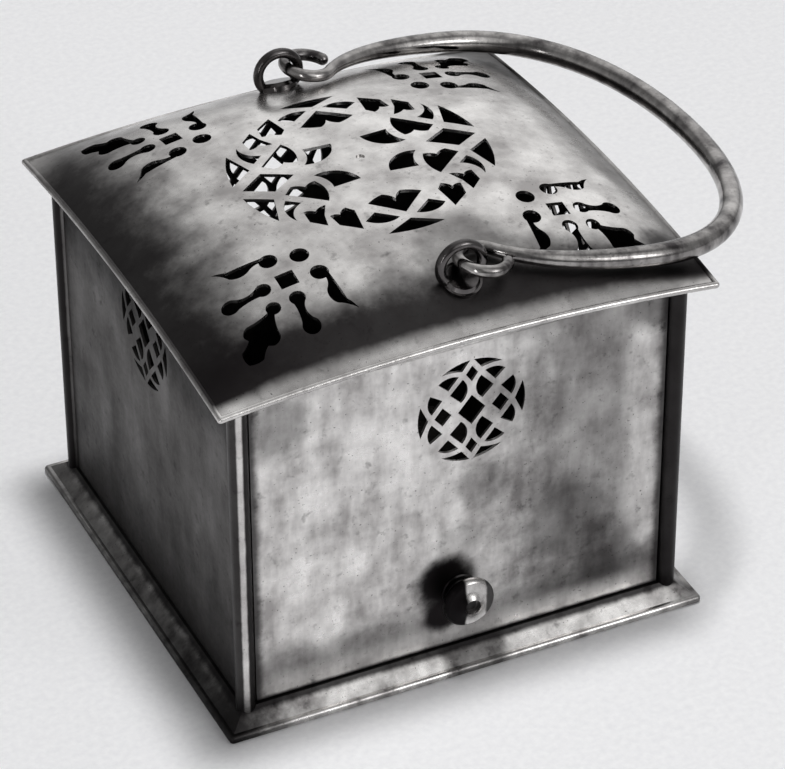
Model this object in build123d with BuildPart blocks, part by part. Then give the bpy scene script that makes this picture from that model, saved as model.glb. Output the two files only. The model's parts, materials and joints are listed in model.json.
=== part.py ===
from build123d import *

import os
from math import atan2, cos, degrees, radians, sin

# Antique foot warmer: a square metal box for a pan of embers, with a domed and pierced cover
# to rest the feet on, pierced walls, a front flap with a knob, and a bail handle on two eyes.
# Millimetres. Origin at the middle of the foot, on the surface it stands on.
# +X is to the right along the front, +Y to the back, +Z up.

os.makedirs("parts", exist_ok=True)

# ---- Corner posts
post_pitch_x = 187.0  # between post axes, left to right
post_pitch_y = 179.0  # between post axes, front to back
post_radius = 4.0
slot_depth = 2.6  # how far a wall's edge goes into a post
slot_play = 0.05  # round an edge or a rod that is let into another piece

# ---- Walls
wall_sheet = 1.2
wall_setout = 1.0  # the outer face of a wall lies this far outside the post axes

# ---- Domed cover
cover_sheet = 1.4
cover_overhang = 8.2  # beyond the outside of the posts
cover_corner_height = 156.3
cover_edge_arch = 6.0  # rise of each edge from its corners to its middle
cover_crown_rise = 17.0  # further rise of the flat crown above the edges
rim_radius = 1.4  # the sheet's edge is rolled over a wire

# ---- Pierced work
crown_roundel_radius = 53.0
crown_roundel_shift = 1.2  # towards the back, as laid out by hand
crown_mark_radius = 1.8  # pit left by the compass
wall_roundel_radius = 23.3
wall_roundel_drop = 26.3  # from the corners of the cover to the middle
door_roundel_height = 121.0
door_roundel_shift = 4.0  # to the right, as laid out by hand
sprig_reach_x = 57.6  # from the middle of the cover to a sprig's square hole
sprig_reach_y = 56.6

# ---- Foot
skirt_spread = 7.5  # beyond the outside of the posts
skirt_lip = 3.2
skirt_height = 8.6
skirt_slope = 52.0  # degrees from upright
skirt_corner = 1.8
skirt_sheet = 1.6
tray_sheet = 1.2
tray_lip_height = 8.0
tray_stop_height = 14.0  # the front lip, which the door closes on

# ---- Flap door and its hinge
hinge_drop = 2.3  # from the corners of the cover to the rod
hinge_rod_radius = 1.2
hem_radius = 2.5  # the door's top edge is rolled round the rod
running_clearance = 0.05
door_side_gap = 0.4
door_foot_gap = 0.6
door_back_gap = 0.3
header_gap = 0.5

# ---- Knob
knob_shift = -0.9
knob_height = 35.0
knob_radius = 11.0
knob_reach = 13.0
knob_stem_radius = 3.2
knob_pit_radius = 3.4
knob_plate_radius = 7.5
knob_plate_thickness = 0.9
rivet_radius = 5.0
rivet_thickness = 1.2

# ---- Eyes of the bail
eye_y = 80.5
front_eye_x = 4.0  # the two are not quite in line, as fitted by hand
rear_eye_x = 0.0
eye_lift = 7.32  # from the cover to the middle of a ring
eye_ring_radius = 8.9
eye_wire_radius = 2.1
eye_collar_radius = 8.0
eye_collar_top_radius = 6.2
eye_collar_height = 3.0
eye_shank_radius = 3.2
eye_boss_radius = 6.0
eye_boss_depth = 4.5
eye_head_radius = 4.4
eye_head_thickness = 1.4

# ---- Bail handle
bail_curl_radius = 9.6
bail_end_radius = 2.5
bail_grip_radius = 4.7
bail_reach = 146.0  # from its hinge axis to the middle of the grip
bail_half_width = 91.0
bail_shoulder = 76.6  # from its hinge axis to where it is widest
bail_rest_angle = 99.5  # degrees from upright, leaning to the right
bail_play = 0.35  # between its wire and the rear ring it hangs in
bail_seat_angle = 24.0  # where it lies in the rear ring, from +X
curl_tip_angle = 25.0
curl_neck_angle = 315.0
arm_sections = 18

# ---- Ember pan and what carries it
pan_inset_x = 23.5  # from the post axes to its foot
pan_inset_y = 22.0
pan_height = 36.0
pan_flare = 8.0  # degrees
pan_sheet = 1.2
pan_corner = 12.0
pan_rim = 2.0
runner_width = 8.0
runner_height = 3.0
runner_end = 7.5  # how far a runner stands out past the pan's foot
runner_pitch = 90.0
grip_width = 40.0
grip_reach = 12.0
grip_bar_radius = 1.8
grip_level = 22.0  # above the pan's foot

# ---- Places that follow from these
half_x = post_pitch_x / 2
half_y = post_pitch_y / 2
wall_x = half_x + wall_setout
wall_y = half_y + wall_setout
edge_x = half_x + post_radius + cover_overhang - rim_radius
edge_y = half_y + post_radius + cover_overhang - rim_radius
wall_end = post_radius - slot_depth  # from a post's axis to the foot of its slot
tall = 1.5 * cover_corner_height
wall_roundel_height = cover_corner_height - wall_roundel_drop
hinge_height = cover_corner_height - hinge_drop
hinge_y = -wall_y + wall_sheet / 2
wall_middle_x = wall_x - wall_sheet / 2
wall_middle_y = wall_y - wall_sheet / 2
wall_run_x = post_pitch_x - 2 * wall_end - 2 * slot_play  # length of the back wall
wall_run_y = post_pitch_y - 2 * wall_end - 2 * slot_play
door_width = post_pitch_x - 2 * post_radius - 2 * door_side_gap
door_foot = skirt_height + door_foot_gap
header_foot = hinge_height + hem_radius + header_gap
pan_width = post_pitch_x - 2 * pan_inset_x
pan_depth = post_pitch_y - 2 * pan_inset_y


def dome_height(x, y):
    """Height of the cover's top face above a point of the plan."""
    u = x / edge_x
    v = y / edge_y
    arch = cover_edge_arch * (2 - u**2 - v**2)
    return cover_corner_height + arch + cover_crown_rise * (1 - u**4) * (1 - v**4)


def dome_face(drop=0.0):
    """The cover's top face, or the same face lower down.

    dome_height has degree four each way, so one patch of five by five control points is exact.
    The control values for t, its square and its fourth power over -1 to 1 follow from the sum
    of the signs that each point stands for.
    """
    sums = [2 * k - 4 for k in range(5)]
    squares = [(s**2 - 4) / 12 for s in sums]
    fourths = [(-1) ** k for k in range(5)]
    rows = []
    for i in range(5):
        row = []
        for j in range(5):
            arch = cover_edge_arch * (2 - squares[i] - squares[j])
            crown = cover_crown_rise * (1 - fourths[i]) * (1 - fourths[j])
            z = cover_corner_height - drop + arch + crown
            row.append((sums[i] / 4 * edge_x, sums[j] / 4 * edge_y, z))
        rows.append(row)
    return Face.make_bezier_surface(rows)


def cut_under_cover():
    """Trims the part in hand to the underside of the cover."""
    extrude(dome_face(cover_sheet), amount=tall, dir=(0, 0, 1), mode=Mode.SUBTRACT)


def save(builder, name):
    """Labels a finished piece and writes it."""
    builder.part.label = name
    export_step(builder.part, f"parts/{name}.step")


# ---- Pierced patterns
# An opening is a list of corners taken counter-clockwise: x, y, and how far the run to the next
# corner bulges out of the opening. A run without bulge is straight, and one below zero hollows in.
# The roundels' openings are drawn in a circle of radius one.
def opening(corners, scale=1.0):
    """Adds one opening to the sketch in hand."""
    with BuildLine() as outline:
        for start, end in zip(corners, corners[1:] + corners[:1]):
            start_point = (start[0] * scale, start[1] * scale)
            end_point = (end[0] * scale, end[1] * scale)
            if start[2] == 0:
                Line(start_point, end_point)
            else:
                SagittaArc(start_point, end_point, -start[2] * scale)
    make_face(outline.edges())


# The cover's roundel: interlaced straps round a plain cross.
crown_openings = [
    # petal next to the cross
    [(0.12, 0.27, 0.085), (0.415, 0.083, -0.028), (0.345, 0.29, 0)],
    # spandrel outside the petal
    [(0.453, 0.437, 0.038), (0.44, 0.152, 0.012), (0.535, 0.192, 0.012), (0.63, 0.142, 0),
     (0.706, 0.215, 0)],
    # inner and outer crescent at the side
    [(0.76, 0.555, -0.042), (0.64, 0.365, 0), (0.735, 0.285, 0.045)],
    [(0.798, 0.223, 0), (0.99, 0.09, 0.022), (0.874, 0.487, 0)],
    # cusped lights, low and high
    [(0.585, 0.711, 0), (0.557, 0.585, 0), (0.5, 0.472, 0.012), (0.6, 0.513, 0.012),
     (0.681, 0.481, 0), (0.687, 0.613, 0)],
    [(0.368, 0.855, 0), (0.336, 0.626, 0), (0.385, 0.566, 0.012), (0.453, 0.63, 0.012),
     (0.528, 0.613, 0), (0.509, 0.743, 0)],
    # leaf under the rim
    [(0.066, 0.827, 0), (0.217, 0.71, 0), (0.321, 0.783, 0.047)],
]
crown_side_opening = [(0.538, 0, 0), (0.751, -0.136, 0), (0.953, 0, 0), (0.751, 0.136, 0)]
crown_end_openings = [
    # crown with a cusp in its foot
    [(-0.217, 0.596, 0.008), (-0.075, 0.53, 0.012), (0, 0.615, 0.012), (0.075, 0.53, 0.008),
     (0.217, 0.596, 0), (0, 0.792, 0)],
    # lens under the rim
    [(0, 0.868, 0), (0.226, 0.974, 0.026), (-0.226, 0.974, 0)],
]

# The walls' roundel: a lattice of crossing straps.
wall_openings = [
    # leaf next to the middle
    [(0.172, 0.648, 0.107), (0.197, 0.189, 0), (0.403, 0.395, 0)],
    # spandrels towards the end and towards the side
    [(0.24, 0.721, 0), (0.433, 0.494, 0), (0.618, 0.665, 0.056)],
    [(0.76, 0.48, 0), (0.536, 0.335, 0), (0.734, 0.099, 0.064)],
    # crescent under the rim
    [(0.034, 0.999, 0), (0.18, 0.803, -0.02), (0.558, 0.83, 0.039)],
]
wall_side_openings = [
    [(0.37, 0, 0), (0.535, -0.183, 0), (0.687, 0, 0), (0.535, 0.183, 0)],
    [(0.8, 0, 0), (0.94, -0.31, 0.05), (0.94, 0.31, 0)],
]
wall_end_opening = [(0, 0.567, 0), (0.112, 0.727, 0), (0, 0.88, 0), (-0.112, 0.727, 0)]
wall_middle_opening = [(0.253, 0, 0), (0, 0.296, 0), (-0.253, 0, 0), (0, -0.296, 0)]

# A corner sprig, in millimetres from its square hole, with +X and +Y towards the cover's corner.
sprig_square = 7.4
sprig_round_radius = 3.8
sprig_round_reach = -9.5
sprig_half_leaf = [
    (8.1, 8.1, 2.2), (13.0, 10.9, -0.5), (22.0, 12.5, 0.9), (25.0, 16.5, 0), (24.0, 18.5, -0.3),
    (28.3, 22.0, 0.6), (28.0, 28.0, 0),
]
sprig_outer_scroll = [
    (4.0, -15.7, 0), (17.8, -16.9, 0.3), (23.0, -19.5, -0.5), (18.2, -12.8, 1.3),
    (10.7, -11.9, -0.5), (5.7, -13.6, 7.0),
]
sprig_inner_scroll = [
    (12.4, -2.0, -1.3), (20.5, -1.9, 6.1), (21.3, 3.2, -0.4), (12.2, 2.5, 5.5),
]

with BuildSketch() as crown_pattern:
    for corners in crown_openings:
        opening(corners, crown_roundel_radius)
    opening(crown_side_opening, crown_roundel_radius)
    mirror(about=Plane.YZ)
    for corners in crown_end_openings:
        opening(corners, crown_roundel_radius)
    mirror(about=Plane.XZ)

with BuildSketch() as wall_pattern:
    for corners in wall_openings + wall_side_openings:
        opening(corners, wall_roundel_radius)
    mirror(about=Plane.YZ)
    opening(wall_end_opening, wall_roundel_radius)
    mirror(about=Plane.XZ)
    opening(wall_middle_opening, wall_roundel_radius)

with BuildSketch() as sprig:
    opening(sprig_half_leaf)
    opening(sprig_outer_scroll)
    opening(sprig_inner_scroll)
    mirror(about=Plane((0, 0, 0), x_dir=(1, 1, 0), z_dir=(1, -1, 0)))
    Rectangle(sprig_square, sprig_square)
    with Locations((sprig_round_reach, sprig_round_reach)):
        Circle(sprig_round_radius)

with BuildSketch() as corner_pattern:
    with Locations((sprig_reach_x, sprig_reach_y)):
        add(sprig.sketch)
    mirror(about=Plane.YZ)
    mirror(about=Plane.XZ)

# ---- Cover: a domed sheet, pierced, with its edge rolled
with BuildPart() as top_cover:
    extrude(dome_face(), amount=cover_sheet, dir=(0, 0, -1))
    with BuildSketch() as cover_cuts:
        add(corner_pattern.sketch)
        with Locations((0, crown_roundel_shift)):
            add(crown_pattern.sketch)
    extrude(amount=tall, mode=Mode.SUBTRACT)
    rim_height = cover_corner_height - cover_sheet / 2
    corners = [(-edge_x, -edge_y), (edge_x, -edge_y), (edge_x, edge_y), (-edge_x, edge_y)]
    for start, end in zip(corners, corners[1:] + corners[:1]):
        middle_x = (start[0] + end[0]) / 2
        middle_y = (start[1] + end[1]) / 2
        with BuildLine() as edge_line:
            Bezier(
                (start[0], start[1], rim_height),
                (middle_x, middle_y, rim_height + 2 * cover_edge_arch),
                (end[0], end[1], rim_height),
            )
        with BuildSketch(Plane(edge_line.line @ 0, z_dir=edge_line.line % 0)):
            Circle(rim_radius)
        sweep()
        with Locations((start[0], start[1], rim_height)):
            Sphere(rim_radius)
    with Locations((0, crown_roundel_shift, dome_height(0, crown_roundel_shift))):
        Cylinder(crown_mark_radius, cover_sheet, mode=Mode.SUBTRACT)
    with Locations(
        (front_eye_x, -eye_y, cover_corner_height), (rear_eye_x, eye_y, cover_corner_height)
    ):
        Cylinder(eye_shank_radius + slot_play, tall, mode=Mode.SUBTRACT)
save(top_cover, "top_cover")

# ---- Foot: a hollow skirt round a tray
skirt_x = post_pitch_x + 2 * (post_radius + skirt_spread)
skirt_y = post_pitch_y + 2 * (post_radius + skirt_spread)
tray_front = -wall_y + wall_sheet + door_back_gap
tray_back = wall_y
tray_depth = tray_back - tray_front
tray_middle = (tray_back + tray_front) / 2

with BuildPart() as base_skirt:
    with BuildSketch():
        RectangleRounded(skirt_x, skirt_y, skirt_corner)
    extrude(amount=skirt_lip)
    fillet(base_skirt.edges().group_by(Axis.Z)[-1], skirt_lip * 0.45)
    fillet(base_skirt.edges().group_by(Axis.Z)[0], skirt_lip * 0.3)
    shoulder = skirt_lip * 0.8
    with BuildSketch(Plane.XY.offset(shoulder)):
        RectangleRounded(skirt_x - skirt_lip, skirt_y - skirt_lip, skirt_corner / 2)
    extrude(amount=skirt_height - shoulder, taper=skirt_slope)
    # hollow under the slope
    with BuildSketch():
        RectangleRounded(skirt_x - 4 * skirt_sheet, skirt_y - 4 * skirt_sheet, skirt_corner / 2)
    extrude(amount=skirt_height - skirt_sheet * 1.5, taper=skirt_slope, mode=Mode.SUBTRACT)
    with Locations((0, tray_middle, 0)):
        Box(2 * wall_x, tray_depth, tall, mode=Mode.SUBTRACT)
    with GridLocations(post_pitch_x, post_pitch_y, 2, 2):
        Cylinder(post_radius + slot_play, tall, mode=Mode.SUBTRACT)
save(base_skirt, "base_skirt")

with BuildPart() as base_tray:
    with Locations((0, tray_middle, 0)):
        Box(2 * wall_x, tray_depth, tray_sheet, align=(Align.CENTER, Align.CENTER, Align.MIN))
    inner_x = 2 * (wall_x - wall_sheet - slot_play)
    inner_back = wall_y - wall_sheet - slot_play
    inner_middle = (inner_back + tray_front) / 2
    inner_depth = inner_back - tray_front
    with BuildSketch(Plane.XY.offset(tray_sheet)):
        with Locations((0, inner_middle)):
            Rectangle(inner_x, inner_depth)
            Rectangle(inner_x - 2 * tray_sheet, inner_depth - 2 * tray_sheet, mode=Mode.SUBTRACT)
    extrude(amount=tray_lip_height - tray_sheet)
    with Locations((0, tray_front + tray_sheet / 2, tray_sheet)):
        Box(
            post_pitch_x - 2 * post_radius,
            tray_sheet,
            tray_stop_height - tray_sheet,
            align=(Align.CENTER, Align.CENTER, Align.MIN),
        )
    with GridLocations(post_pitch_x, post_pitch_y, 2, 2):
        Cylinder(post_radius + slot_play, tall, mode=Mode.SUBTRACT)
save(base_tray, "base_tray")

# ---- Corner posts, slotted for the walls; the front pair also carries the hinge rod
slot_width = wall_sheet + 2 * slot_play
slot_base = (Align.CENTER, Align.CENTER, Align.MIN)

with BuildPart() as post_front_left:
    with Locations((-half_x, -half_y, 0)):
        Cylinder(post_radius, tall, align=slot_base)
    with Locations((-wall_middle_x, -half_y + wall_end + slot_depth, tray_sheet)):
        Box(slot_width, 2 * slot_depth, tall, align=slot_base, mode=Mode.SUBTRACT)
    with Locations((-half_x + wall_end + slot_depth, -wall_middle_y, header_foot - slot_play)):
        Box(2 * slot_depth, slot_width, tall, align=slot_base, mode=Mode.SUBTRACT)
    with Locations(Location((-half_x + wall_end, hinge_y, hinge_height), (0, 90, 0))):
        Cylinder(
            hinge_rod_radius + slot_play, slot_depth * 2, align=slot_base, mode=Mode.SUBTRACT
        )
    cut_under_cover()
save(post_front_left, "post_front_left")

with BuildPart() as post_front_right:
    mirror(post_front_left.part, about=Plane.YZ)
save(post_front_right, "post_front_right")

with BuildPart() as post_back_left:
    with Locations((-half_x, half_y, 0)):
        Cylinder(post_radius, tall, align=slot_base)
    with Locations((-wall_middle_x, half_y - wall_end - slot_depth, tray_sheet)):
        Box(slot_width, 2 * slot_depth, tall, align=slot_base, mode=Mode.SUBTRACT)
    with Locations((-half_x + wall_end + slot_depth, wall_middle_y, tray_sheet)):
        Box(2 * slot_depth, slot_width, tall, align=slot_base, mode=Mode.SUBTRACT)
    cut_under_cover()
save(post_back_left, "post_back_left")

with BuildPart() as post_back_right:
    mirror(post_back_left.part, about=Plane.YZ)
save(post_back_right, "post_back_right")

# ---- Walls
with BuildPart() as left_panel:
    with Locations((-wall_middle_x, 0, tray_sheet)):
        Box(wall_sheet, wall_run_y, tall, align=slot_base)
    with BuildSketch(Plane((-wall_x, 0, wall_roundel_height), x_dir=(0, -1, 0), z_dir=(-1, 0, 0))):
        add(wall_pattern.sketch)
    extrude(amount=-2 * wall_sheet, mode=Mode.SUBTRACT)
    cut_under_cover()
save(left_panel, "left_panel")

with BuildPart() as right_panel:
    mirror(left_panel.part, about=Plane.YZ)
save(right_panel, "right_panel")

with BuildPart() as back_panel:
    with Locations((0, wall_middle_y, tray_sheet)):
        Box(wall_run_x, wall_sheet, tall, align=slot_base)
    with BuildSketch(Plane((0, wall_y, wall_roundel_height), x_dir=(-1, 0, 0), z_dir=(0, 1, 0))):
        add(wall_pattern.sketch)
    extrude(amount=-2 * wall_sheet, mode=Mode.SUBTRACT)
    cut_under_cover()
save(back_panel, "back_panel")

with BuildPart() as front_header:
    with Locations((0, -wall_middle_y, header_foot)):
        Box(wall_run_x, wall_sheet, tall, align=slot_base)
    cut_under_cover()
save(front_header, "front_header")

# ---- Flap door on its rod
with BuildPart() as door_panel:
    with Locations((0, hinge_y, door_foot)):
        Box(door_width, wall_sheet, hinge_height - door_foot, align=slot_base)
    with Locations(Location((0, hinge_y, hinge_height), (0, 90, 0))):
        Cylinder(hem_radius, door_width)
        Cylinder(hinge_rod_radius + running_clearance, door_width, mode=Mode.SUBTRACT)
    with BuildSketch(
        Plane(
            (door_roundel_shift, -wall_y, door_roundel_height),
            x_dir=(1, 0, 0),
            z_dir=(0, -1, 0),
        )
    ):
        add(wall_pattern.sketch)
    extrude(amount=-2 * wall_sheet, mode=Mode.SUBTRACT)
    with Locations(Location((knob_shift, hinge_y, knob_height), (90, 0, 0))):
        Cylinder(knob_stem_radius, 2 * wall_sheet, mode=Mode.SUBTRACT)
save(door_panel, "door_panel")

with BuildPart() as door_hinge_rod:
    with Locations(Location((0, hinge_y, hinge_height), (0, 90, 0))):
        Cylinder(hinge_rod_radius, wall_run_x)
save(door_hinge_rod, "door_hinge_rod")

# ---- Knob, turned, with its stem riveted over a burr inside the door
knob_axis = Axis((knob_shift, -wall_y, knob_height), (0, -1, 0))
knob_plane = Plane(knob_axis.position, x_dir=(1, 0, 0), z_dir=(0, 0, -1))

with BuildPart() as door_knob:
    with BuildSketch(knob_plane):
        with BuildLine():
            foot = -wall_sheet - rivet_thickness
            brow = knob_reach * 0.82
            pit = knob_reach - 2.0
            Polyline(
                (0, pit),
                (0, foot),
                (knob_stem_radius, foot),
                (knob_stem_radius, knob_plate_thickness),
                (knob_stem_radius + 2.0, knob_plate_thickness),
            )
            ThreePointArc(
                (knob_stem_radius + 2.0, knob_plate_thickness),
                (knob_stem_radius + 0.9, knob_reach * 0.3),
                (knob_radius - 1.0, knob_reach * 0.5),
            )
            ThreePointArc(
                (knob_radius - 1.0, knob_reach * 0.5),
                (knob_radius, knob_reach * 0.66),
                (knob_radius - 1.4, brow),
            )
            SagittaArc((knob_radius - 1.4, brow), (knob_pit_radius, knob_reach), 0.6)
            Line((knob_pit_radius, knob_reach), (knob_pit_radius - 0.6, pit))
            Line((knob_pit_radius - 0.6, pit), (0, pit))
        make_face()
    revolve(axis=knob_axis)
save(door_knob, "door_knob")

with BuildPart() as knob_plate:
    with BuildSketch(Plane(knob_axis.position, x_dir=(1, 0, 0), z_dir=(0, -1, 0))):
        Circle(knob_plate_radius)
        Circle(knob_stem_radius, mode=Mode.SUBTRACT)
    extrude(amount=knob_plate_thickness)
    chamfer(knob_plate.faces().sort_by(Axis.Y)[0].outer_wire().edges(), knob_plate_thickness / 2)
save(knob_plate, "knob_plate")

with BuildPart() as knob_burr:
    with BuildSketch(Plane((knob_shift, -wall_y + wall_sheet, knob_height), z_dir=(0, 1, 0))):
        Circle(rivet_radius)
        Circle(knob_stem_radius, mode=Mode.SUBTRACT)
    extrude(amount=rivet_thickness)
    chamfer(knob_burr.faces().sort_by(Axis.Y)[-1].outer_wire().edges(), rivet_thickness / 3)
save(knob_burr, "knob_burr")

# ---- Eyes: a hoop and its collar on the cover, and a shank through the cover and a boss
eye_height = dome_height(0, eye_y) + eye_lift
boss_foot = dome_height(0, eye_y) - cover_sheet - eye_boss_depth


def add_eye(x):
    """Adds an eye of the front side to the part in hand."""
    foot = dome_height(x, -eye_y)
    fall = degrees(atan2(dome_height(x, 1 - eye_y) - dome_height(x, -1 - eye_y), 2))
    with Locations(Location((x, -eye_y, eye_height), (90, 0, 0))):
        Torus(eye_ring_radius, eye_wire_radius)
    with Locations(Location((x, -eye_y, foot), (fall, 0, 0))):
        Cylinder(eye_collar_radius, eye_collar_height)
        Cone(eye_collar_radius, eye_collar_top_radius, eye_collar_height, align=slot_base)
    extrude(dome_face(), amount=tall, dir=(0, 0, -1), mode=Mode.SUBTRACT)
    with Locations((x, -eye_y, boss_foot)):
        Cylinder(eye_shank_radius, foot - boss_foot + eye_collar_height / 2, align=slot_base)
        Cylinder(
            eye_head_radius,
            eye_head_thickness,
            align=(Align.CENTER, Align.CENTER, Align.MAX),
        )


def add_eye_boss(x):
    """Adds the boss that fills up between the cover and an eye's clinched end."""
    with Locations((x, -eye_y, boss_foot)):
        Cylinder(eye_boss_radius, 3 * eye_boss_depth, align=slot_base)
        Cylinder(
            eye_shank_radius + slot_play,
            3 * eye_boss_depth,
            align=slot_base,
            mode=Mode.SUBTRACT,
        )
    cut_under_cover()


with BuildPart() as front_eye:
    add_eye(front_eye_x)
save(front_eye, "front_eye")

with BuildPart() as front_eye_boss:
    add_eye_boss(front_eye_x)
save(front_eye_boss, "front_eye_boss")

with BuildPart() as rear_eye_in_front:
    add_eye(rear_eye_x)

with BuildPart() as rear_eye:
    mirror(rear_eye_in_front.part, about=Plane.XZ)
save(rear_eye, "rear_eye")

with BuildPart() as rear_eye_boss_in_front:
    add_eye_boss(rear_eye_x)

with BuildPart() as rear_eye_boss:
    mirror(rear_eye_boss_in_front.part, about=Plane.XZ)
save(rear_eye_boss, "rear_eye_boss")

# ---- Bail handle: thick in the grip, drawn down to open curls that hang in the eyes
seat = eye_ring_radius - eye_wire_radius - bail_end_radius - bail_play
bail_x = rear_eye_x + seat * cos(radians(bail_seat_angle))
bail_z = eye_height + seat * sin(radians(bail_seat_angle))
lean = radians(bail_rest_angle)
bail_plane = Plane((0, 0, 0), x_dir=(sin(lean), 0, cos(lean)), z_dir=(-cos(lean), 0, sin(lean)))
neck = radians(curl_neck_angle)
neck_out = bail_curl_radius * (1 + cos(neck))
neck_side = eye_y + bail_curl_radius * sin(neck)
neck_pull = 1.46 * bail_curl_radius  # the pulls are how far each end steers its curve
shoulder_pull_in = 0.418 * bail_shoulder
shoulder_pull_out = 0.605 * (bail_reach - bail_shoulder)
grip_pull = 0.626 * bail_half_width

with BuildPart() as bail_on_axis:
    with BuildLine(bail_plane) as curl_line:
        CenterArc(
            (bail_curl_radius, eye_y),
            bail_curl_radius,
            curl_tip_angle,
            curl_neck_angle - curl_tip_angle,
        )
    with BuildSketch(Plane(curl_line.line @ 0, z_dir=curl_line.line % 0)):
        Circle(bail_end_radius)
    sweep()
    with Locations(curl_line.line @ 0):
        Sphere(bail_end_radius)
    mirror(about=Plane.XZ)
    with BuildLine(bail_plane) as arm_line:
        Bezier(
            (neck_out, neck_side),
            (neck_out - neck_pull * sin(neck), neck_side + neck_pull * cos(neck)),
            (bail_shoulder - shoulder_pull_in, bail_half_width),
            (bail_shoulder, bail_half_width),
        )
        Bezier(
            (bail_shoulder, bail_half_width),
            (bail_shoulder + shoulder_pull_out, bail_half_width),
            (bail_reach, grip_pull),
            (bail_reach, 0),
        )
        mirror(about=Plane.XZ)
    arm = arm_line.wires()[0]
    for step in range(2 * arm_sections + 1):
        along = step / (2 * arm_sections)
        swell = sin(radians(90 * min(1, 4 * along, 4 - 4 * along)))
        section_plane = Plane(arm @ along, x_dir=bail_plane.z_dir, z_dir=arm % along)
        with BuildSketch(section_plane):
            Circle(bail_end_radius + (bail_grip_radius - bail_end_radius) * swell)
    loft()

with BuildPart() as bail_handle:
    with Locations((bail_x, 0, bail_z)):
        add(bail_on_axis.part)
save(bail_handle, "bail_handle")

# ---- Ember pan on two runners
pan_floor = tray_sheet + runner_height

with BuildPart() as ember_pan:
    with BuildSketch(Plane.XY.offset(pan_floor)):
        RectangleRounded(pan_width, pan_depth, pan_corner)
    extrude(amount=pan_height, taper=-pan_flare)
    with BuildSketch(Plane.XY.offset(pan_floor + pan_height - pan_rim)):
        flare = 2 * (pan_height * sin(radians(pan_flare)) / cos(radians(pan_flare)) + pan_rim)
        RectangleRounded(pan_width + flare, pan_depth + flare, pan_corner + flare / 2)
    extrude(amount=pan_rim)
    fillet(ember_pan.edges().group_by(Axis.Z)[-1], pan_rim * 0.4)
    with BuildSketch(Plane.XY.offset(pan_floor + pan_sheet)):
        RectangleRounded(
            pan_width - 2 * pan_sheet,
            pan_depth - 2 * pan_sheet,
            pan_corner - pan_sheet,
        )
    extrude(amount=pan_height, taper=-pan_flare, mode=Mode.SUBTRACT)
save(ember_pan, "ember_pan")

with BuildPart() as pan_grip:
    grip_y = -pan_depth / 2 - grip_level * sin(radians(pan_flare)) / cos(radians(pan_flare))
    grip_z = pan_floor + grip_level
    with BuildLine(Plane.XY.offset(grip_z)) as grip_line:
        FilletPolyline(
            (-grip_width / 2, grip_y),
            (-grip_width / 2, grip_y - grip_reach),
            (grip_width / 2, grip_y - grip_reach),
            (grip_width / 2, grip_y),
            radius=grip_reach / 2,
        )
    with BuildSketch(Plane(grip_line.line @ 0, z_dir=grip_line.line % 0)):
        Circle(grip_bar_radius)
    sweep()
    for side in (-1, 1):
        with Locations(Location((side * grip_width / 2, grip_y, grip_z), (90, 0, 0))):
            Cylinder(grip_bar_radius * 2, grip_bar_radius)
    with BuildSketch(Plane.XY.offset(pan_floor)):
        RectangleRounded(pan_width, pan_depth, pan_corner)
    extrude(amount=pan_height, taper=-pan_flare, mode=Mode.SUBTRACT)
save(pan_grip, "pan_grip")

with BuildPart() as runner_left:
    with Locations((-runner_pitch / 2, 0, tray_sheet)):
        Box(runner_width, pan_depth + 2 * runner_end, runner_height, align=slot_base)
    chamfer(runner_left.edges().filter_by(Axis.X).group_by(Axis.Z)[-1], runner_height / 2)
save(runner_left, "runner_left")

with BuildPart() as runner_right:
    mirror(runner_left.part, about=Plane.YZ)
save(runner_right, "runner_right")
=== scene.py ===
import json
import math

import bpy
from mathutils import Matrix, Vector

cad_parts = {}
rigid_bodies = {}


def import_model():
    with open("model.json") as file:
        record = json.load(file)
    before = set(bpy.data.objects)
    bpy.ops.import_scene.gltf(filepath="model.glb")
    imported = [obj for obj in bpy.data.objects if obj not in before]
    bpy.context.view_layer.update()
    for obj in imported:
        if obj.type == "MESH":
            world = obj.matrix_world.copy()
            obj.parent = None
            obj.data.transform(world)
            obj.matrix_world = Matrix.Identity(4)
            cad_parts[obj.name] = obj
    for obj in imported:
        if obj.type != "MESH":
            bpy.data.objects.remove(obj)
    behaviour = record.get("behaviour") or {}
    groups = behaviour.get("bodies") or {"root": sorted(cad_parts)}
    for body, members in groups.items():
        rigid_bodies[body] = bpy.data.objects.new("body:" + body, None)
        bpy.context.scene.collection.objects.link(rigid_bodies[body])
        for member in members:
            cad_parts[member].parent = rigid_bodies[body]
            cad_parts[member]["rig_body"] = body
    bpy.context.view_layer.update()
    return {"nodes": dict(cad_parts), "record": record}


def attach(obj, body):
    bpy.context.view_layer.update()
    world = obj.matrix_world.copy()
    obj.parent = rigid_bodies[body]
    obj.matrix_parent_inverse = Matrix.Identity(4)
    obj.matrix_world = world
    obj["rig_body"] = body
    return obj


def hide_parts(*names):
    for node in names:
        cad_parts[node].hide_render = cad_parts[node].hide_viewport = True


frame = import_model()

MM = 0.001
WHITE = (1, 1, 1, 1)


def linear(code):
    """A colour as Blender wants it, from its sRGB hex code."""
    parts = [int(code[i : i + 2], 16) / 255 for i in (1, 3, 5)]
    scaled = [p / 12.92 if p <= 0.04045 else ((p + 0.055) / 1.055) ** 2.4 for p in parts]
    return (*scaled, 1.0)


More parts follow.
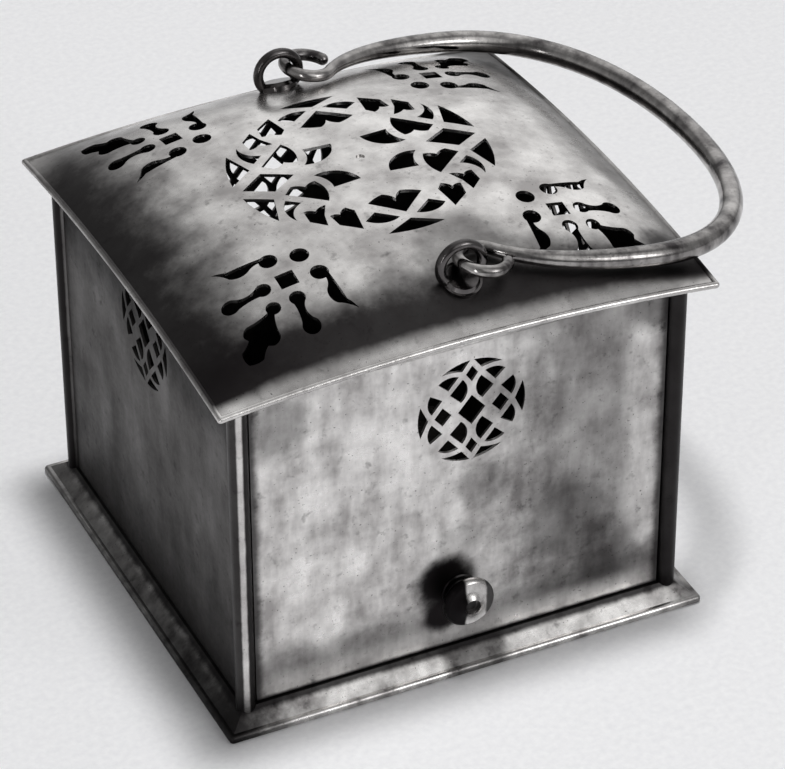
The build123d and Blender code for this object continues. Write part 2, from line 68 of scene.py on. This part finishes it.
def add_node(tree, kind, inputs=None, out=None, stops=(), **settings):
    """Adds a node, sets it up, fills or links its inputs, and returns one of its outputs.

    Without out, that is the first output in use. stops are a colour ramp's, each a position and
    a grey or a hex colour.
    """
    made = tree.nodes.new(kind)
    for name, value in settings.items():
        setattr(made, name, value)
    for key, value in (inputs or {}).items():
        if isinstance(value, bpy.types.NodeSocket):
            tree.links.new(value, made.inputs[key])
        else:
            made.inputs[key].default_value = value
    if stops:
        elements = made.color_ramp.elements
        while len(elements) < len(stops):
            elements.new(0.5)
        for element, (place, value) in zip(elements, stops):
            element.position = place
            element.color = linear(value) if isinstance(value, str) else (value, value, value, 1)
    if out:
        return made.outputs[out]
    return next((socket for socket in made.outputs if socket.enabled), None)


def new_material(name):
    """An empty material with its shader, and the object's own coordinates in metres."""
    material = bpy.data.materials.new(name)
    material.use_nodes = True
    tree = material.node_tree
    shader = next(n for n in tree.nodes if n.type == "BSDF_PRINCIPLED")
    coords = add_node(tree, "ShaderNodeTexCoord", out="Object")
    return material, tree, shader, coords


def clouds_of(tree, coords, size, detail, rough, stretch=(1, 1, 1), turn=(0, 0, 0)):
    """Light and dark clouds about size millimetres across.

    A stretch under 1 draws them out along an axis, as wiping and scratching do, once they are
    turned by turn, in radians.
    """
    placed = add_node(
        tree, "ShaderNodeMapping", {"Vector": coords, "Rotation": turn, "Scale": stretch}
    )
    return add_node(
        tree,
        "ShaderNodeTexNoise",
        {"Vector": placed, "Scale": 1 / (size * MM), "Detail": detail, "Roughness": rough},
    )


def specks(tree, coords, size, detail, rough, edge, heart, most):
    """Specks about size millimetres across: none where the clouds are under edge, most at heart."""
    clouds = clouds_of(tree, coords, size, detail, rough)
    return add_node(tree, "ShaderNodeValToRGB", {"Fac": clouds}, stops=[(edge, 0.0), (heart, most)])


def coated(tree, base, coats):
    """The colour of a base under coats of (share that it covers, colour)."""
    colour = linear(base)
    for share, code in coats:
        inputs = {"Factor": share, "A": colour, "B": linear(code)}
        colour = add_node(tree, "ShaderNodeMix", inputs, data_type="RGBA")
    return colour


def relief(tree, layers):
    """The lie of a surface under layers of (height, depth in millimetres, strength)."""
    normal = None
    for height, depth, strength in layers:
        inputs = {"Height": height, "Distance": depth * MM, "Strength": strength}
        if normal is not None:
            inputs["Normal"] = normal
        normal = add_node(tree, "ShaderNodeBump", inputs)
    return normal


# How far the edge and the heart of a spot lie from its centre, as shares of its radius, and how
# far the edges of the painted shade and soiling are torn, as a share of the width that it fades
# over
SPOT_EDGE, SPOT_HEART, TEAR = 1.35, 0.65, 1.1


def shade_and_grime(tree, coords, ragged, bands, spots):
    """How much painted shade, soiling and tarnish lies on a place, from 0 to 1.

    A band is (direction, distance with none, distance of most, how much), where the
    distances are from the origin along the direction. A spot is (centre, radius, how much).
    All are in millimetres. A negative amount takes painted shade and soiling off. The clouds in
    ragged tear the edges.
    """
    shapes = []
    for direction, start, end, most in bands:
        along = add_node(
            tree, "ShaderNodeVectorMath", {0: coords, 1: direction}, operation="DOT_PRODUCT"
        )
        shapes.append((along, start * MM, end * MM, most))
    for centre, radius, most in spots:
        middle = Vector(centre) * MM
        away = add_node(tree, "ShaderNodeVectorMath", {0: coords, 1: middle}, operation="DISTANCE")
        shapes.append((away, radius * SPOT_EDGE * MM, radius * SPOT_HEART * MM, most))
    shade_and_soil = 0.0
    for along, start, end, most in shapes:
        tear = TEAR * (end - start)
        torn = add_node(
            tree, "ShaderNodeMath", {0: ragged, 1: tear, 2: along}, operation="MULTIPLY_ADD"
        )
        share = add_node(
            tree,
            "ShaderNodeMapRange",
            {
                "Value": torn,
                "From Min": start + tear / 2,
                "From Max": end + tear / 2,
                "To Min": 0.0,
                "To Max": abs(most),
            },
            interpolation_type="SMOOTHSTEP",
        )
        covered = 1.0 if most > 0 else 0.0
        shade_and_soil = add_node(tree, "ShaderNodeMix", {"Factor": share, "A": shade_and_soil, "B": covered})
    return shade_and_soil


# How deep the small dents of a sheet are, as a share of its long waves
KNOCKS = 0.16


def old_metal(name, bright, dull, tarnish, patch, smooth, rough, dents, bands=(), spots=()):
    """Old brass in greys: polished once, now patchy, speckled and scratched, with soiling and
    painted shade laid by place.

    bright, dull and tarnish are its colours, patch is the size of its dull patches, smooth and
    rough bound its roughness, and dents is how deep it waves. Sizes are in millimetres. bands
    and spots are where painted shade and soiling lie, as shade_and_grime() takes them.
    """
    material, tree, shader, coords = new_material(name)

    # dull patches, with runs down them, cover half of the bright metal
    patches = clouds_of(tree, coords, patch, detail=5.0, rough=0.6)
    runs = clouds_of(tree, coords, patch * 0.5, detail=4.0, rough=0.6, stretch=(1, 1, 0.25))
    cloudy = add_node(tree, "ShaderNodeMix", {"Factor": 0.4, "A": patches, "B": runs})
    duller = add_node(tree, "ShaderNodeValToRGB", {"Fac": cloudy}, stops=[(0.38, 0.0), (0.62, 1.0)])

    # tarnish in blots and in pits, and painted shade and soiling laid by place; real pits are like
    # pin-pricks, and these are as coarse as they need to be to show
    blots = specks(tree, coords, 7, detail=3.0, rough=0.7, edge=0.6, heart=0.75, most=0.45)
    pits = specks(tree, coords, 1.1, detail=2.0, rough=0.5, edge=0.68, heart=0.76, most=0.7)
    finer = clouds_of(tree, coords, patch * 0.35, detail=4.0, rough=0.6)
    ragged = add_node(tree, "ShaderNodeMix", {"Factor": 0.5, "A": patches, "B": finer})
    shaded_and_soiled = shade_and_grime(tree, coords, ragged, bands, spots)
    colour = coated(
        tree, bright, [(duller, dull), (blots, tarnish), (pits, tarnish), (shaded_and_soiled, tarnish)]
    )

    # the dull patches, wiping marks, blots, and the places of painted shade and soiling are rougher
    # than the polish
    wiped = clouds_of(
        tree, coords, 2.2, detail=3.0, rough=0.6, stretch=(0.06, 1, 1), turn=(0.2, 0.1, 0.5)
    )
    uneven = add_node(tree, "ShaderNodeMix", {"Factor": 0.25, "A": cloudy, "B": wiped})
    roughness = add_node(
        tree,
        "ShaderNodeMapRange",
        {"Value": uneven, "From Min": 0.35, "From Max": 0.65, "To Min": smooth, "To Max": rough},
    )
    for share, rise in ((blots, 0.2), (shaded_and_soiled, 0.15)):
        roughness = add_node(
            tree,
            "ShaderNodeMath",
            {0: share, 1: rise, 2: roughness},
            operation="MULTIPLY_ADD",
            use_clamp=True,
        )

    # long waves and small dents of the sheet, scratches two ways, and the pits; real scratches
    # are finer too
    waves = clouds_of(tree, coords, 55, detail=2.0, rough=0.5)
    knocks = clouds_of(tree, coords, 14, detail=2.0, rough=0.5)
    scratches = clouds_of(
        tree, coords, 0.7, detail=2.0, rough=0.5, stretch=(0.03, 1, 1), turn=(0.4, 0.3, 1.1)
    )
    crossing = clouds_of(
        tree, coords, 0.8, detail=2.0, rough=0.5, stretch=(1, 0.03, 1), turn=(0.1, 0.6, 0.3)
    )
    unpitted = add_node(tree, "ShaderNodeMath", {0: 1.0, 1: pits}, operation="SUBTRACT")
    normal = relief(
        tree,
        [
            (waves, dents, 1.0),
            (knocks, dents * KNOCKS, 1.0),
            (scratches, 0.02, 0.35),
            (crossing, 0.02, 0.35),
            (unpitted, 0.04, 0.5),
        ],
    )

    shader.inputs["Metallic"].default_value = 1.0
    tree.links.new(colour, shader.inputs["Base Color"])
    tree.links.new(roughness, shader.inputs["Roughness"])
    tree.links.new(normal, shader.inputs["Normal"])
    return material


def sooted_iron(name):
    """Thin sheet iron, blued by heat, nearly black, with soot and pale specks of ash."""
    material, tree, shader, coords = new_material(name)
    clouds = clouds_of(tree, coords, 18, detail=5.0, rough=0.65)
    soot = add_node(tree, "ShaderNodeValToRGB", {"Fac": clouds}, stops=[(0.4, 0.0), (0.62, 1.0)])
    ash = specks(tree, coords, 1.6, detail=3.0, rough=0.6, edge=0.62, heart=0.74, most=0.6)
    colour = coated(tree, "#4A4744", [(soot, "#1E1C1B"), (ash, "#7C7872")])
    matt = add_node(tree, "ShaderNodeValToRGB", {"Fac": clouds}, stops=[(0.3, 0.55), (0.7, 0.85)])
    scale = clouds_of(tree, coords, 1.2, detail=4.0, rough=0.6)
    shader.inputs["Metallic"].default_value = 0.7
    tree.links.new(colour, shader.inputs["Base Color"])
    tree.links.new(matt, shader.inputs["Roughness"])
    tree.links.new(relief(tree, [(scale, 0.08, 0.6)]), shader.inputs["Normal"])
    return material


# Directions along which painted shade and soiling are laid on or taken off
LEFT, RIGHT = (-1, 0, 0), (1, 0, 0)
FRONT, BACK = (0, -1, 0), (0, 1, 0)
DOWN, UP = (0, 0, -1), (0, 0, 1)

# Raised and polished sheet brass, worn by feet and hands, that mirrors softly. Painted shade makes
# it nearly black on the left and front slopes of the dome, darker toward its right and back right
# edges and in patches at its front right corner and near the front eye, and is left off its front
# edge, a thin line along its left rim and part of its back left corner
cover_metal = old_metal(
    "worn_polished_cover_painted_shade",
    bright="#E8E6E4",
    dull="#A5A2A1",
    tarnish="#272425",
    patch=30,
    smooth=0.16,
    rough=0.34,
    dents=0.5,
    bands=[
        (LEFT, 55, 98, 0.95),
        ((-0.7, 0.7, 0), 120, 140, -0.5),
        (FRONT, 60, 84, 0.95),
        (RIGHT, 85, 106, 0.45),
        ((0.93, 0.36, 0), 106, 115, 0.85),
        (FRONT, 92.5, 98.5, -0.95),
        (LEFT, 104.5, 105.2, -0.5),
    ],
    spots=[
        ((94, -83, 160), 14, 0.8),
        ((14, -66, 178), 18, 0.55),
    ],
)
# Rolled sheet brass, wiped but not polished, and mottled, with darker patches at its lower right
# and in its middle. Painted shade darkens it toward its right and lower right but less at its right
# edge, toward its foot but less just above it, in a black line along the foot seam, along its side
# edges by the posts and under the rim at both top corners; a painted shadow and reflection of the
# knob makes a black blot beside and under the knob and a dark halo above it
flap_metal = old_metal(
    "mottled_flap_sheet_painted_shade",
    bright="#F4F2F0",
    dull="#A5A2A1",
    tarnish="#221F20",
    patch=20,
    smooth=0.22,
    rough=0.42,
    dents=0.5,
    bands=[
        (RIGHT, -12, 45, 0.55),
        ((0.8, 0, -0.6), 10, 40, 0.4),
        (RIGHT, 66, 80, -0.8),
        (DOWN, -38, -24, 0.5),
        (DOWN, -22, -13.5, -0.85),
        (DOWN, -11, -9.2, 0.9),
        (LEFT, 84.5, 88.5, 0.85),
        (RIGHT, 84.5, 88.5, 0.85),
    ],
    spots=[
        ((-78, -90.5, 137), 14, 0.55),
        ((85, -90.5, 148), 13, 0.7),
        ((46, -90.5, 55), 20, 0.5),
        ((67, -90.5, 30), 14, 0.4),
        ((9, -90.5, 84), 11, 0.4),
        ((-1, -90.5, 58), 10, 0.35),
        ((-7.5, -90.5, 41), 12.5, 1.0),
        ((-8.5, -90.5, 25), 8, 1.0),
    ],
)
# The same sheet on the other walls, dull, in darker colours than the flap's as painted shade;
# painted shade also darkens it at the top under the rim, toward its foot and toward the left
wall_metal = old_metal(
    "dull_wall_sheet_painted_shade",
    bright="#A3A09F",
    dull="#757270",
    tarnish="#151314",
    patch=30,
    smooth=0.3,
    rough=0.5,
    dents=0.5,
    bands=[
        (LEFT, -60, 80, 0.7),
        (UP, 112, 139, 0.85),
        (DOWN, -90, -10, 0.65),
    ],
)
# Drawn brass tube of the corner posts: a narrow bright line down the front left post, between
# strips of painted shade at its sides; painted shade also darkens the right and back posts and all
# posts toward the foot
post_metal = old_metal(
    "worn_post_tube_painted_shade",
    bright="#ECEAE8",
    dull="#B3B0AF",
    tarnish="#171415",
    patch=22,
    smooth=0.16,
    rough=0.3,
    dents=0.15,
    bands=[
        (LEFT, 95.1, 95.9, 0.93),
        (RIGHT, -93.8, -92.8, 0.97),
        (DOWN, -20, -6, 0.7),
        (BACK, -50, 50, 0.8),
    ],
)
# Bent sheet brass of the foot: bright on its lip and slope in front; painted shade makes it black
# in the seam at the walls and dark on its left and right sides and at its front left corner, and a
# painted reflection of the knob darkens it under the knob
skirt_metal = old_metal(
    "dull_skirt_sheet_painted_shade",
    bright="#EEECEA",
    dull="#A3A09F",
    tarnish="#191718",
    patch=14,
    smooth=0.18,
    rough=0.4,
    dents=0.5,
    bands=[
        (UP, 6.2, 7.8, 0.92),
        (LEFT, 90, 100, 0.72),
        ((-0.95, -0.3, 0), 85, 122, 0.9),
        (RIGHT, 87, 103, 0.7),
    ],
    spots=[((4, -95, 6), 14, 0.7)],
)
# Cast brass of the bail: smooth and dark, rubbed bright in patches where hands hold it
handle_metal = old_metal(
    "cast_handle_metal",
    bright="#BCB9B7",
    dull="#454243",
    tarnish="#1B191A",
    patch=16,
    smooth=0.1,
    rough=0.24,
    dents=0.2,
)
# The eyes are the same casting, given darker colours than the bail as painted shade
shaded_eye_metal = old_metal(
    "cast_eye_metal",
    bright="#6B6868",
    dull="#353333",
    tarnish="#171516",
    patch=16,
    smooth=0.1,
    rough=0.24,
    dents=0.2,
)
# Turned brass of the knob, polished; painted shade makes the left of its face and its stem toward
# the flap nearly black, and darkens a rim at its right and its central pit
knob_metal = old_metal(
    "turned_knob_metal_painted_shade",
    bright="#E0DEDC",
    dull="#A7A4A3",
    tarnish="#151314",
    patch=9,
    smooth=0.15,
    rough=0.3,
    dents=0.08,
    bands=[
        (LEFT, 2.2, 3.6, 1.0),
        (RIGHT, 5.2, 6.6, 0.88),
        (BACK, -97, -94, 0.95),
    ],
    spots=[((-0.9, -101.5, 35), 2.9, 0.95)],
)
# Brass inside the box and of its small hidden fittings: sooted, dark and matt
inner_metal = old_metal(
    "sooted_inner_metal",
    bright="#565454",
    dull="#3A3838",
    tarnish="#1A1919",
    patch=20,
    smooth=0.45,
    rough=0.7,
    dents=0.3,
)
pan_iron = sooted_iron("sooted_pan_iron")

SLOTS = {
    "cover_metal": cover_metal,
    "wall_metal": wall_metal,
    "post_metal": post_metal,
    "skirt_metal": skirt_metal,
    "handle_metal": handle_metal,
    "knob_metal": knob_metal,
    "inner_metal": inner_metal,
    "pan_iron": pan_iron,
}

slot_of = {s["node"]: s["material_slot"] for s in frame["record"]["subparts"]}
for name, thing in frame["nodes"].items():
    thing.data.materials.clear()
    thing.data.materials.append(SLOTS[slot_of[name]])
# the header is cut from the flap's sheet and takes its colours and painted shade, not the walls'
# darker ones
frame["nodes"]["front_header"].data.materials[0] = flap_metal

# Corners of triangles that lie nearer than this are one corner, and faces that meet at less than
# this angle are one curved surface
SAME_CORNER = 0.02 * MM
CURVED = math.radians(35)


def smooth_copy(node, name, material=None):
    """A copy of a CAD node with its loose triangles joined and its curved faces shaded smooth."""
    source = frame["nodes"][node]
    thing = bpy.data.objects.new(name, source.data.copy())
    bpy.context.scene.collection.objects.link(thing)
    bpy.ops.object.select_all(action="DESELECT")
    thing.select_set(True)
    bpy.context.view_layer.objects.active = thing
    thing.data.normals_split_custom_set([(0.0, 0.0, 0.0)] * len(thing.data.loops))
    bpy.ops.object.mode_set(mode="EDIT")
    bpy.ops.mesh.select_all(action="SELECT")
    bpy.ops.mesh.remove_doubles(threshold=SAME_CORNER)
    bpy.ops.mesh.normals_make_consistent(inside=False)
    bpy.ops.object.mode_set(mode="OBJECT")
    bpy.ops.mesh.customdata_custom_splitnormals_clear()
    bpy.ops.object.shade_smooth_by_angle(angle=CURVED)
    thing.data.materials.clear()
    thing.data.materials.append(material or SLOTS[slot_of[node]])
    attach(thing, source["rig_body"])
    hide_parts(node)


# ---- Pieces with curved faces are shown as joined copies, so that their shading is smooth
smooth_copy("top_cover", "cover_shell")
smooth_copy("front_eye", "front_eye_smooth", material=shaded_eye_metal)
smooth_copy("rear_eye", "rear_eye_smooth", material=shaded_eye_metal)
for node in (
    "bail_handle",
    "door_knob",
    "knob_plate",
    "post_front_left",
    "post_front_right",
    "post_back_left",
    "post_back_right",
    "base_skirt",
    "ember_pan",
    "pan_grip",
):
    smooth_copy(node, node + "_smooth")
smooth_copy("door_panel", "flap_sheet", material=flap_metal)


# ---- Floor
FLOOR_SIDE = 14
FLOOR_DROP = 0.2 * MM  # keeps the floor off the underside of the foot
FLOOR_GLOW = 0.05


def paper_floor():
    """Thick white paper: pale and matt, with a faint grain."""
    material, tree, shader, coords = new_material("pale_matt_ground")
    clouds = clouds_of(tree, coords, 3, detail=4.0, rough=0.6)
    grain = add_node(
        tree, "ShaderNodeValToRGB", {"Fac": clouds}, stops=[(0.3, "#ECECEE"), (0.7, "#F6F6F7")]
    )
    tree.links.new(grain, shader.inputs["Base Color"])
    shader.inputs["Roughness"].default_value = 0.9
    shader.inputs["Specular IOR Level"].default_value = 0.1
    # the paper's own paleness, seen by the camera alone, so that it lights nothing
    seen_directly = add_node(tree, "ShaderNodeLightPath", out="Is Camera Ray")
    paleness = add_node(
        tree, "ShaderNodeMath", {0: seen_directly, 1: FLOOR_GLOW}, operation="MULTIPLY"
    )
    shader.inputs["Emission Color"].default_value = linear("#F2F2F5")
    tree.links.new(paleness, shader.inputs["Emission Strength"])
    return material


bpy.ops.object.select_all(action="DESELECT")
bpy.ops.mesh.primitive_plane_add(size=FLOOR_SIDE, location=(0, 0, -FLOOR_DROP))
floor = bpy.context.active_object
floor.name = "ground"
floor.data.materials.append(paper_floor())


# ---- Lamps
def softbox(name, place, aim, width, height, power):
    """A lamp of width by height metres at place that faces aim."""
    data = bpy.data.lights.new(name, "AREA")
    data.shape = "RECTANGLE"
    data.size = width
    data.size_y = height
    data.energy = power
    thing = bpy.data.objects.new(name, data)
    bpy.context.scene.collection.objects.link(thing)
    thing.location = place
    thing.rotation_mode = "QUATERNION"
    thing.rotation_quaternion = (Vector(aim) - Vector(place)).to_track_quat("-Z", "Y")
    return thing


BOX_MIDDLE = (0, 0, 0.1)
LEFT_POST = (-0.09, -0.09, 0.08)
# nearly overhead, as the photo's narrow shadow at the left foot shows; its own reflection
# would burn out on the cover, so the metal mirrors the surroundings alone
key_softbox = softbox("key_softbox", (0.24, 0.16, 4.0), BOX_MIDDLE, 0.6, 0.6, 102)
key_softbox.visible_glossy = False
softbox("front_softbox", (0.9, -1.6, 1.0), BOX_MIDDLE, 0.7, 0.7, 5)
# draws the bright line down the front left post
softbox("post_strip", (-1.2, -1.2, 0.5), LEFT_POST, 0.1, 1.0, 2.5)

# ---- Surroundings: the metal mirrors a room, the floor and the dull places get an even fill, and
# the camera sees a plain pale backdrop
FILL, WINDOW_STRENGTH = 0.16, 0.9
WINDOW_WAY, SKYLIGHT_WAY = (0.45, 0.70, 0.55), (0.35, -0.72, 0.6)

world = bpy.data.worlds.new("studio")
bpy.context.scene.world = world
world.use_nodes = True
tree = world.node_tree
tree.nodes.clear()
way = add_node(tree, "ShaderNodeTexCoord", out="Generated")


def opening_toward(direction, stops):
    """Brightness of an opening in the room, by how nearly the way looked is its direction."""
    middle = Vector(direction).normalized()
    near = add_node(tree, "ShaderNodeVectorMath", {0: way, 1: middle}, operation="DOT_PRODUCT")
    return add_node(tree, "ShaderNodeValToRGB", {"Fac": near}, stops=stops)


def glow_along(axis, start, end, most):
    """Brightness that grows from nothing to most as the way looked turns along an axis."""
    turned = add_node(tree, "ShaderNodeSeparateXYZ", {0: way}, out=axis)
    return add_node(
        tree,
        "ShaderNodeMapRange",
        {"Value": turned, "From Min": start, "From Max": end, "To Min": 0.0, "To Max": most},
    )


# a tall window behind at the right, a small skylight in front, pale walls and a pale ceiling
window = opening_toward(
    WINDOW_WAY, [(0.2, 0.1), (0.45, 0.06), (0.72, 0.18), (0.86, 0.65), (1.0, 0.86)]
)
skylight = opening_toward(SKYLIGHT_WAY, [(0.84, 0.0), (0.9, 0.55), (1.0, 1.0)])
openings = add_node(
    tree,
    "ShaderNodeMix",
    {"Factor": 1.0, "A": window, "B": skylight},
    data_type="RGBA",
    blend_type="ADD",
)
pale_walls = add_node(
    tree,
    "ShaderNodeMath",
    {0: glow_along("X", -0.3, 1.0, 0.35), 1: glow_along("X", -0.15, -1.0, 0.4)},
    operation="ADD",
)
pale_sides = add_node(
    tree,
    "ShaderNodeMath",
    {0: pale_walls, 1: glow_along("Z", 0.82, 0.97, 0.3)},
    operation="ADD",
)
lit_openings = add_node(
    tree, "ShaderNodeBackground", {"Color": openings, "Strength": WINDOW_STRENGTH}
)
lit_sides = add_node(tree, "ShaderNodeBackground", {"Color": WHITE, "Strength": pale_sides})
room = add_node(tree, "ShaderNodeAddShader", {0: lit_openings, 1: lit_sides})
fill = add_node(tree, "ShaderNodeBackground", {"Color": WHITE, "Strength": FILL})
backdrop = add_node(tree, "ShaderNodeBackground", {"Color": linear("#ECEAE6"), "Strength": 1.0})
mirrored = add_node(tree, "ShaderNodeLightPath", out="Is Glossy Ray")
seen_directly = add_node(tree, "ShaderNodeLightPath", out="Is Camera Ray")
light = add_node(tree, "ShaderNodeMixShader", {"Fac": mirrored, 1: fill, 2: room})
whole = add_node(tree, "ShaderNodeMixShader", {"Fac": seen_directly, 1: light, 2: backdrop})
add_node(tree, "ShaderNodeOutputWorld", {"Surface": whole})

# ---- Camera, fitted to the edges of the box in the photograph
AZIMUTH, ELEVATION, ROLL = math.radians(-25.2669), math.radians(34.9311), math.radians(-0.2321)
FOCAL_PIXELS, PHOTO_WIDTH = 3894.38, 785
SENSOR = 36
# its place from the origin: along its own right, along its own up, and away from the object
TO_RIGHT, TO_UP, AWAY = 0.01155, 0.0631, 1.6341

back = Vector(
    (
        math.sin(AZIMUTH) * math.cos(ELEVATION),
        -math.cos(AZIMUTH) * math.cos(ELEVATION),
        math.sin(ELEVATION),
    )
)
level_right = (-back).cross(Vector(UP)).normalized()
level_up = level_right.cross(-back)
right = level_right * math.cos(ROLL) + level_up * math.sin(ROLL)
up = level_up * math.cos(ROLL) - level_right * math.sin(ROLL)
facing = Matrix((right, up, back)).transposed().to_4x4()

camera = bpy.data.objects.new("camera", bpy.data.cameras.new("camera"))
bpy.context.scene.collection.objects.link(camera)
camera.matrix_world = Matrix.Translation(right * TO_RIGHT + up * TO_UP + back * AWAY) @ facing
camera.data.sensor_width = SENSOR
camera.data.lens = FOCAL_PIXELS / PHOTO_WIDTH * SENSOR
camera.data.clip_start = 0.1
camera.data.clip_end = 20
bpy.context.scene.camera = camera
bpy.context.scene.view_settings.view_transform = "Standard"
